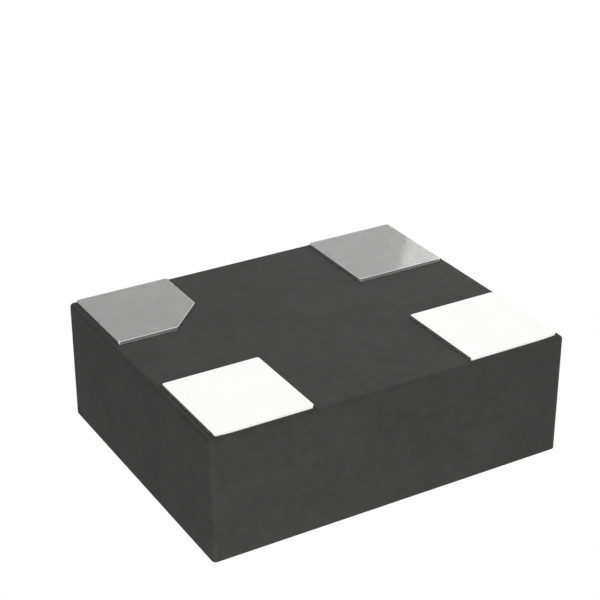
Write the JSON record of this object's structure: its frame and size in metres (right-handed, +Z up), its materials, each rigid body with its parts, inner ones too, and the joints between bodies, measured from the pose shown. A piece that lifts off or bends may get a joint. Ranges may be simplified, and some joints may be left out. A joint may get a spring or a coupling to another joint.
{
  "type": "mems oscillator",
  "caption": "Small four-land surface-mount MEMS oscillator: dark moulded block with solder lands underneath and a round orientation mark on top.",
  "frame": {"origin": "middle of the package on the seating plane, where the lands meet the board", "axes": "+X along the long side, +Y across, +Z up from the board; the bevelled land 1 is at -X -Y"},
  "size_m": [0.0024, 0.002, 0.0009],
  "materials": {
    "moulding": "black filled epoxy with a fine matte moulded grain",
    "land_plating": "smooth tin plating on copper",
    "silicon": "polished silicon, hidden inside",
    "die_film": "die attach film, hidden inside",
    "gold_wire": "drawn gold wire, hidden inside"
  },
  "bodies": {
    "root": {"moulded_body": "moulding", "land_1_control": "land_plating", "land_2_ground": "land_plating", "land_3_output": "land_plating", "land_4_supply": "land_plating", "driver_die": "silicon", "resonator_base": "silicon", "resonator_ring": "silicon", "resonator_cap": "silicon", "driver_die_film": "die_film", "resonator_die_film": "die_film", "control_wire": "gold_wire", "ground_wire": "gold_wire", "output_wire": "gold_wire", "supply_wire": "gold_wire", "drive_wire_1": "gold_wire", "drive_wire_2": "gold_wire", "bias_wire": "gold_wire", "sense_wire_1": "gold_wire", "sense_wire_2": "gold_wire"}
  },
  "joints": []
}
